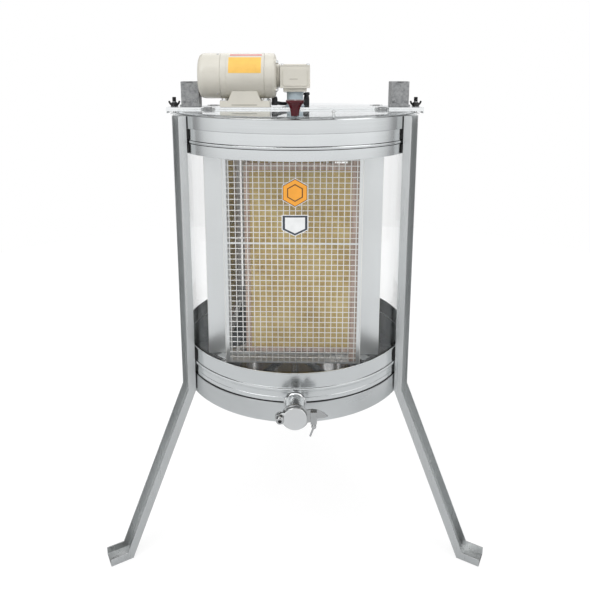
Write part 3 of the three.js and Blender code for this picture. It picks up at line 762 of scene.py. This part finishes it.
# Painted shadows of the two slots in the motor foot: thin dark plates on its faces.
piece("foot_slot_front", box(-140, -84, -38.35, -37.6, 983.0, 984.8), CREAM_SHADE, bevel=0.1)
piece("foot_slot_rear", box(-140, -84, 37.6, 38.35, 983.0, 984.8), CREAM_SHADE, bevel=0.1)
washers = bmesh.new()
for x in (-157, -65):
    for y in (-30, 30):
        lathe([(5.2, 993.1), (8.4, 993.1), (8.4, 994.0), (5.2, 994.2), (5.2, 993.1)], 24, at(x, y, 0), washers)
        lathe([(0, 994), (5.4, 994), (5.4, 998.4), (4.6, 999.2), (0, 999.2)], 6, at(x, y, 0), washers)
piece("foot_bolts", washers, STEEL_PART)


def motor_patch(name, x0, x1, a0, a1, mat, lift=0.12):
    """A label bent round the motor, angles from the front towards the top."""
    bm = bmesh.new()
    rows = []
    for r in (MOTOR_R + 0.02, MOTOR_R + lift):
        rows.append([[bm.verts.new((x, -r * math.cos(math.radians(a)), MOTOR_Z + r * math.sin(math.radians(a)))) for a in [a0 + (a1 - a0) * i / 16 for i in range(17)]] for x in (x0, x1)])
    (bl, br), (tl, tr) = rows
    for i in range(16):
        bm.faces.new([tl[i], tl[i + 1], tr[i + 1], tr[i]])
        bm.faces.new([bl[i], br[i], br[i + 1], bl[i + 1]])
        bm.faces.new([bl[i], bl[i + 1], tl[i + 1], tl[i]])
        bm.faces.new([br[i], tr[i], tr[i + 1], br[i + 1]])
    bm.faces.new([bl[0], tl[0], tr[0], br[0]])
    bm.faces.new([bl[-1], br[-1], tr[-1], tl[-1]])
    return piece(name, bm, mat)


motor_patch("motor_label", -145, -74, 7, 53, YELLOW)
motor_patch("motor_label_strip", -143, -73, 61, 68, PINK)

# ------------------------------------------------------------------ gearbox
refined("gearbox_housing", "gearbox_casting", CREAM, 2.6, 4)
refined("gearbox_cover", "gearbox_lid", CREAM, 1.0, 3)
for y, name in ((-33.0, "front"), (33.0, "rear")):
    d = -1 if y < 0 else 1
    pts = []
    for cx, cz, a0 in ((22, 1058, 0), (-22, 1058, 90), (-22, 1030, 180), (22, 1030, 270)):
        for i in range(7):
            a = math.radians(a0 + 15 * i)
            pts.append((cx + 5 * math.cos(a), cz + 5 * math.sin(a)))
    panel = prism(pts, min(y - 0.2 * d, y + 1.6 * d), max(y - 0.2 * d, y + 1.6 * d))
    piece(f"gearbox_panel_{name}", panel, CREAM, bevel=0.7, segments=3)
    # Painted shadow of the slot in the gearbox panel.
    piece(f"gearbox_slot_{name}", box(-12, 6, min(y + 1.4 * d, y + 1.85 * d), max(y + 1.4 * d, y + 1.85 * d), 1039.6, 1040.8), CREAM_SHADE)
cap = bmesh.new()
for x in (-24, 24):
    for y in (-24, 24):
        lathe([(0, 0), (3.4, 0), (3.3, 2.0), (2.6, 2.8), (1.6, 2.8), (1.6, 1.4), (0, 1.4)], 20, at(x * 1.18, y * 1.18, 1070.4), cap)
        lathe([(0, 0), (3.0, 0), (3.0, 1.8), (2.4, 2.2), (0, 2.2)], 6, at(x * 0.85, y * 0.85, 1012.4) @ Matrix.Rotation(math.pi, 4, "X"), cap)
piece("gearbox_screws", cap, STEEL_PART)
tag = box(32.95, 33.25, -30, -12, 1026, 1040)
piece("gearbox_tag", tag, YELLOW, bevel=0.1)
piece(
    "column",
    lathe([(14, 979.3), (21.5, 979.3), (21.5, 981.4), (20.4, 982.4), (18.5, 982.8), (18.5, 1009.5), (18.0, 1012.1), (14, 1012.1), (14, 979.3)], 96),
    COLUMN,
    stands_for=["coupling_column"],
)

# The held lead from the motor's gland to its inlet.
lead_path = spline([(-44, -4, 987), (-38, -2, 986.6), (-30, 8, 985), (-20, 24, 984.2), (0, 29, 984.2), (8, 28, 985.4), (15.6, 27, 987.5)], 8)
lead = tube_along(lead_path, 4.0, 20)
lathe([(0, 982), (6.4, 982), (7.5, 983.2), (7.5, 989), (6.6, 990), (6.6, 996), (5.2, 1001), (0, 1001)], 12, at(-46, -4, 0), lead)
piece("lead_and_gland", lead, BLACK, stands_for=["motor_lead"], angle=50)
inlet = box(20, 33, 17, 33, 979.3, 997)
piece("inlet_box", inlet, BLACK, stands_for=["lead_inlet"], bevel=1.6, segments=3)
plug = bmesh.new()
lathe([(0, 996.5), (6.2, 996.5), (6.2, 1000), (5.4, 1001), (5.4, 1003), (7.4, 1004), (7.4, 1008.6), (6.4, 1010), (0, 1010)], 24, at(26.5, 25, 0), plug)
lathe([(0, 0), (5, 0), (5, 2.6), (4.4, 3.4), (0, 3.4)], 24, at(20.2, 27, 988) @ Matrix.Rotation(-math.pi / 2, 4, "Y"), plug)
piece("inlet_plug", plug, BLACK)

# ------------------------------------------------------------------ reel
turn = turn_z(REEL_TURN)
piece(
    "reel_shaft_turned",
    lathe([(0, 408), (6, 408), (9.2, 411.3), (10, 412.4), (10, 1050.8), (9, 1052), (0, 1052)], 64),
    STEEL_PART,
    "reel",
    ["reel_shaft"],
)
refined("bottom_spider", "spider_bottom", STEEL_PART, 0.6)
refined("top_spider", "spider_top", STEEL_PART, 0.6)
refined("crown_gear", "crown_gear_turned", BRONZE, 0.4)
refined("motor_rotor", "rotor", STEEL_PART, 0.3)
refined("motor_stator", "stator", BRONZE, 0.5)
refined("bottom_bearing", "bearing_cup", STEEL_PART, 0.4)

W = BASKET_W
PITCH = 12.0


def wires(y, half, z0, z1, r, m, name, cad=()):
    bm = bmesh.new()
    n = 23
    for i in range(n + 1):
        x = -half + 2 * half * i / n
        rod((x, y, z0), (x, y, z1), r, 8, bm, m)
    k = 42
    for i in range(k + 1):
        z = z0 + (z1 - z0) * i / k
        rod((-half, y + r * 1.3, z), (half, y + r * 1.3, z), r, 8, bm, m)
    return piece(name, bm, WIRE, "reel", cad, angle=60)


def hex_face(bm, m, x0, x1, z0, z1, y, out):
    """Comb cells: shallow hexagonal cups with low walls, on the face at y that looks along out."""
    s = 3.05
    w = s * math.sqrt(3)
    row = 0
    z = z0 + s
    while z < z1 - s * 0.6:
        x = x0 + w / 2 + (w / 2 if row % 2 else 0)
        while x < x1 - w * 0.4:
            dy = 0.5 * math.sin(x * 0.031 + row * 0.09) + 0.35 * math.sin(z * 0.05 + x * 0.02)
            cap_h = random.uniform(-0.9, -0.3)
            outer = [bm.verts.new(m @ Vector((x + s * 0.995 * math.cos(math.radians(60 * i + 30)), y + out * dy, z + s * 0.995 * math.sin(math.radians(60 * i + 30))))) for i in range(6)]
            inner = [bm.verts.new(m @ Vector((x + s * 0.74 * math.cos(math.radians(60 * i + 30)), y + out * (dy + cap_h), z + s * 0.74 * math.sin(math.radians(60 * i + 30))))) for i in range(6)]
            for i in range(6):
                j = (i + 1) % 6
                bm.faces.new([outer[i], outer[j], inner[j], inner[i]])
            bm.faces.new(inner)
            x += w
        z += s * 1.5
        row += 1


for side, deg in (("front", 0), ("right", 90), ("rear", 180), ("left", 270)):
    m = turn_z(deg + REEL_TURN)
    o, i_ = -BASKET_OUT + 1, -BASKET_IN - 1
    T = 1.4
    walls = bmesh.new()
    Z0 = 445
    for s in (-1, 1):
        xs = sorted((s * (W - T), s * W))
        fl = sorted((s * (W - 9), s * (W - T)))
        box(*xs, o, i_, Z0, 930, walls, m)
        box(*fl, o, o + T, Z0, 930, walls, m)
        box(*fl, i_ - T, i_, Z0, 930, walls, m)
    box(-W + T, W - T, o + T, i_ - T, Z0, Z0 + T, walls, m)
    for x in (-71, 71):
        box(x - 2.5, x + 2.5, i_ - T, i_, Z0 + T, 930, walls, m)
    for yy in ((o + 0.05, o + T - 0.05), (i_ - T + 0.05, i_ - 0.05)):
        for zz in ((Z0, Z0 + 4), (922, 930), (708.5, 712.5)):
            box(-W + T, W - T, *yy, *zz, walls, m)
    piece(f"basket_{side}", walls, STEEL_WALL, "reel", [f"basket_frame_{side}"], bevel=0.25, segments=1)
    wires(-BASKET_OUT + 1.0, W - 1.2, 446.2, 928.8, 0.95, m, f"mesh_outer_{side}", [f"outer_mesh_{side}"])
    # Hive frame on end: a thick top bar upright at one side, thin bars round the comb.
    y0, y1 = -BASKET_OUT + 6, -BASKET_IN - 6
    bars = bmesh.new()
    box(120, 140, y0, y1, 448, 886, bars, m)
    box(-88, 120, y0 + 0.5, y1 - 0.5, 469, 479, bars, m)
    box(-88, 120, y0 + 0.5, y1 - 0.5, 862, 872, bars, m)
    box(-99, -88, y0, y1, 468.6, 872.4, bars, m)
    piece(f"hive_frame_{side}", bars, WOOD, "reel", [f"comb_frame_{side}"], bevel=0.8, segments=2)
    slab = bmesh.new()
    box(-88, 120, y0 + 3.4, y1 - 3.4, 479, 862, slab, m)
    hex_face(slab, m, -88, 120, 479, 862, y0 + 2.8, -1)
    hex_face(slab, m, -88, 120, 479, 862, y1 - 2.8, 1)
    piece(f"comb_{side}", slab, WAX, "reel", angle=28)

# ------------------------------------------------------------------ outlet gate
gy = lambda pts: lathe([(r, -y) for r, y in pts], 96, at(0, 0, GATE_Z) @ Matrix.Rotation(math.pi / 2, 4, "X"))
piece("pipe", gy([(18.5, -256), (21, -256), (21, -310), (18.5, -310), (18.5, -256)]), STEEL_PART, stands_for=["gate_pipe"])
# The welded collar where the pipe leaves the drum.
piece("pipe_weld", gy([(21.05, -264.6), (22.6, -264.8), (22.9, -265.8), (21.9, -267.4), (21.05, -268.2), (21.05, -264.6)]), STEEL_PART)
refined("gate_body", "gate_body_cast", STEEL_CAST, 1.3, 4)
refined("gate_seal", "seal_ring", RUBBER_AND_GAP_SHADE, 0.15)
flap = gy([(0, -316.4), (23.3, -316.4), (23.5, -316.7), (23.5, -320.6), (23.0, -321.2), (22.2, -321.5), (0, -321.5)])
prism([(-37.5, 403), (-36, 406), (-33, 408.2), (-29, 409), (-20, 413), (-12, 412), (-12, 388), (-20, 387), (-29, 391), (-33, 391.8), (-36, 394), (-37.5, 397)], -320.2, -316.5, "XZ", flap)
piece("flap", flap, STEEL_FLAT, "gate_flap", ["gate_flap"], bevel=0.3, angle=40)
bolt = lathe([(0, 320.3), (4.0, 320.3), (4.0, 321.9), (8, 321.9), (8, 324.6), (7.4, 326.4), (6.0, 327.6), (4.4, 328), (3.6, 328), (3.6, 325), (0, 325)], 48, at(PIVOT_X, 0, GATE_Z) @ Matrix.Rotation(math.pi / 2, 4, "X"))
piece("pivot_bolt_head", bolt, STEEL_CAST, stands_for=["gate_pivot_bolt"])
socket_ring = lathe([(3.55, 325.2), (3.55, 328.02), (2.6, 328.02), (2.2, 325.2), (3.55, 325.2)], 6, at(PIVOT_X, 0, GATE_Z) @ Matrix.Rotation(math.pi / 2, 4, "X"))
piece("pivot_bolt_socket", socket_ring, DARK_STEEL, angle=20)
ball = lathe([(5.0 * math.sin(math.pi * i / 24), -5.0 * math.cos(math.pi * i / 24)) for i in range(25)], 40, at(36.3, -319.6, 384))
for v in ball.verts:
    pass
rod((36, -319.6, 386), (36, -319.6, 402), 2.9, 24, ball)
rod((37, -319.6, 385), (29.4, -319.6, 363.6), 1.9, 20, ball)
piece("clamp_bar", ball, STEEL_CAST, "gate_screw", ["gate_clamp_screw"], angle=50)


# ------------------------------------------------------------------ badges on the clear wall
def wall_badge(name, outline, cz, mat, lift):
    """A sticker bent round the clear wall at the front; outline in mm about its centre."""
    bm = prism(outline, 0.0, 0.12, "XY")
    bmesh.ops.subdivide_edges(bm, edges=bm.edges, cuts=6, use_grid_fill=True)
    bmesh.ops.triangulate(bm, faces=bm.faces)
    for v in bm.verts:
        a = v.co.x / CLEAR_R
        r = CLEAR_R + lift + v.co.z
        v.co = Vector((r * math.sin(a), -r * math.cos(a), cz + v.co.y))
    return piece(name, bm, mat, angle=60)


def hexagon(r):
    return [(r * math.sin(math.radians(60 * i)), r * math.cos(math.radians(60 * i))) for i in range(6)]


def shield(k):
    pts = [(-25, 19), (25, 19), (25, -10), (0, -22), (-25, -10)]
    return [(x * k, y * k) for x, y in pts]


wall_badge("badge_hex_edge", hexagon(28.2), 832, WHITE, 0.05)
wall_badge("badge_hex_line", hexagon(27.0), 832, BROWN, 0.17)
wall_badge("badge_hex", hexagon(25.4), 832, ORANGE, 0.29)
wall_badge("badge_hex_ring", hexagon(17.0), 832, BROWN, 0.41)
wall_badge("badge_hex_middle", hexagon(14.8), 832, ORANGE, 0.53)
wall_badge("badge_shield_edge", shield(1.02), 770, WHITE, 0.05)
wall_badge("badge_shield_line", shield(0.94), 770, NAVY, 0.17)
wall_badge("badge_shield", shield(0.76), 770, WHITE, 0.29)

# ------------------------------------------------------------------ stage, light and camera
floor_bm = bmesh.new()
bmesh.ops.create_circle(floor_bm, cap_ends=True, radius=2.6, segments=64)
floor_me = bpy.data.meshes.new("floor")
floor_bm.to_mesh(floor_me)
floor_bm.free()
floor = bpy.data.objects.new("floor", floor_me)
floor.location.z = -0.0005
bpy.context.scene.collection.objects.link(floor)
fm = bpy.data.materials.new("floor_pale")
fm.use_nodes = True
fnt = fm.node_tree
for n in list(fnt.nodes):
    fnt.nodes.remove(n)
f_out = node(fnt, "ShaderNodeOutputMaterial")
f_seen = node(fnt, "ShaderNodeMixShader")
f_white = node(fnt, "ShaderNodeEmission")
f_white.inputs["Strength"].default_value = 1.12
f_matt = node(fnt, "ShaderNodeBsdfDiffuse")
f_matt.inputs["Color"].default_value = (0.86, 0.86, 0.86, 1)
f_seen.inputs["Fac"].default_value = 0.30
fnt.links.new(f_white.outputs[0], f_seen.inputs[1])
fnt.links.new(f_matt.outputs[0], f_seen.inputs[2])
f_pick = node(fnt, "ShaderNodeMixShader")
f_path = node(fnt, "ShaderNodeLightPath")
f_mirrored = node(fnt, "ShaderNodeBsdfDiffuse")
f_mirrored.inputs["Color"].default_value = (0.62, 0.63, 0.64, 1)
fnt.links.new(f_path.outputs["Is Camera Ray"], f_pick.inputs["Fac"])
fnt.links.new(f_mirrored.outputs[0], f_pick.inputs[1])
fnt.links.new(f_seen.outputs[0], f_pick.inputs[2])
fnt.links.new(f_pick.outputs[0], f_out.inputs["Surface"])
floor_me.materials.append(fm)

world = bpy.data.worlds.new("studio")
bpy.context.scene.world = world
world.use_nodes = True
wt = world.node_tree
for n in list(wt.nodes):
    wt.nodes.remove(n)
wout = wt.nodes.new("ShaderNodeOutputWorld")
mixer = wt.nodes.new("ShaderNodeMixShader")
plain = wt.nodes.new("ShaderNodeBackground")
plain.inputs["Color"].default_value = (1, 1, 1, 1)
plain.inputs["Strength"].default_value = 1.0
lit = wt.nodes.new("ShaderNodeBackground")
lit.inputs["Strength"].default_value = 0.92
path = wt.nodes.new("ShaderNodeLightPath")
tcw = wt.nodes.new("ShaderNodeTexCoord")
sep = wt.nodes.new("ShaderNodeSeparateXYZ")
wt.links.new(tcw.outputs["Generated"], sep.inputs[0])


def wmath(op, a, b=None, c=None):
    n = wt.nodes.new("ShaderNodeMath")
    n.operation = op
    for i, v in enumerate((a, b, c)):
        if v is None:
            continue
        if isinstance(v, (int, float)):
            n.inputs[i].default_value = v
        else:
            wt.links.new(v, n.inputs[i])
    return n.outputs[0]


# What the steel mirrors: a bright ceiling, a dark belt above the horizon, bright walls in front
# that darken towards the sides and the back.
flat = wmath("SQRT", wmath("ADD", wmath("MULTIPLY", sep.outputs[0], sep.outputs[0]), wmath("MULTIPLY", sep.outputs[1], sep.outputs[1])))
toward = wmath("DIVIDE", sep.outputs[1], wmath("MAXIMUM", flat, 0.001))


def wramp(fac, stops, mode="EASE"):
    n = wt.nodes.new("ShaderNodeValToRGB")
    n.color_ramp.interpolation = mode
    e = n.color_ramp.elements
    while len(e) < len(stops):
        e.new(0.5)
    for el, (pos, val) in zip(e, stops):
        el.position = pos
        el.color = (val, val * 1.005, val * 1.01, 1)
    wt.links.new(fac, n.inputs["Fac"])
    return n.outputs["Color"]


around = wramp(wmath("MULTIPLY_ADD", toward, 0.5, 0.5), [(0.0, 1.0), (0.34, 0.98), (0.52, 0.80), (0.64, 0.34), (0.80, 0.22), (0.90, 0.55), (1.0, 0.80)])
# Height as the sine of the elevation, mapped from -1..1 to 0..1.
height = wramp(wmath("MULTIPLY_ADD", sep.outputs[2], 0.5, 0.5), [(0.0, 0.5), (0.40, 0.55), (0.465, 1.0), (0.585, 1.0), (0.64, 0.07), (0.86, 0.07), (0.93, 1.0), (1.0, 1.0)])
mixc = wt.nodes.new("ShaderNodeMix")
mixc.data_type = "RGBA"
mixc.blend_type = "MULTIPLY"
mixc.inputs["Factor"].default_value = 1.0
wt.links.new(around, mixc.inputs[6])
wt.links.new(height, mixc.inputs[7])
soft = wt.nodes.new("ShaderNodeBackground")
soft.inputs["Color"].default_value = (1, 1, 1, 1)
soft.inputs["Strength"].default_value = 0.86
glossy = wt.nodes.new("ShaderNodeMixShader")
wt.links.new(mixc.outputs[2], lit.inputs["Color"])
lit.inputs["Strength"].default_value = 1.15
wt.links.new(path.outputs["Is Glossy Ray"], glossy.inputs["Fac"])
wt.links.new(soft.outputs[0], glossy.inputs[1])
wt.links.new(lit.outputs[0], glossy.inputs[2])
wt.links.new(path.outputs["Is Camera Ray"], mixer.inputs["Fac"])
wt.links.new(glossy.outputs[0], mixer.inputs[1])
wt.links.new(plain.outputs[0], mixer.inputs[2])
wt.links.new(mixer.outputs[0], wout.inputs["Surface"])


def softbox(name, loc, aim, size, watts):
    d = bpy.data.lights.new(name, "AREA")
    d.shape = "RECTANGLE"
    d.size, d.size_y = size
    d.energy = watts
    o = bpy.data.objects.new(name, d)
    o.location = loc
    o.rotation_euler = (Vector(aim) - Vector(loc)).to_track_quat("-Z", "Y").to_euler()
    bpy.context.scene.collection.objects.link(o)
    return o


softbox("key", (-1.8, -2.2, 3.2), (0, 0, 0.6), (2.2, 2.2), 36)
softbox("fill", (2.4, -1.6, 2.4), (0, 0, 0.6), (2.0, 2.0), 20)
softbox("back", (0.0, 2.6, 3.0), (0, 0, 0.5), (2.6, 1.6), 22)

PITCH_DOWN = 11.3
FOCAL_PX = 572.0
SHIFT = 0.18
cam_data = bpy.data.cameras.new("camera")
cam_data.sensor_width = 36
cam_data.lens = FOCAL_PX / 590 * 36
cam_data.shift_y = -SHIFT
cam_data.clip_start, cam_data.clip_end = 0.05, 60
cam = bpy.data.objects.new("camera", cam_data)
cam.location = (0, AXIS_Y / 1000 - 1.312, 1.05)
cam.rotation_euler = (math.radians(90 - PITCH_DOWN), 0, 0)
bpy.context.scene.collection.objects.link(cam)
bpy.context.scene.camera = cam
bpy.context.scene.view_settings.view_transform = "Standard"
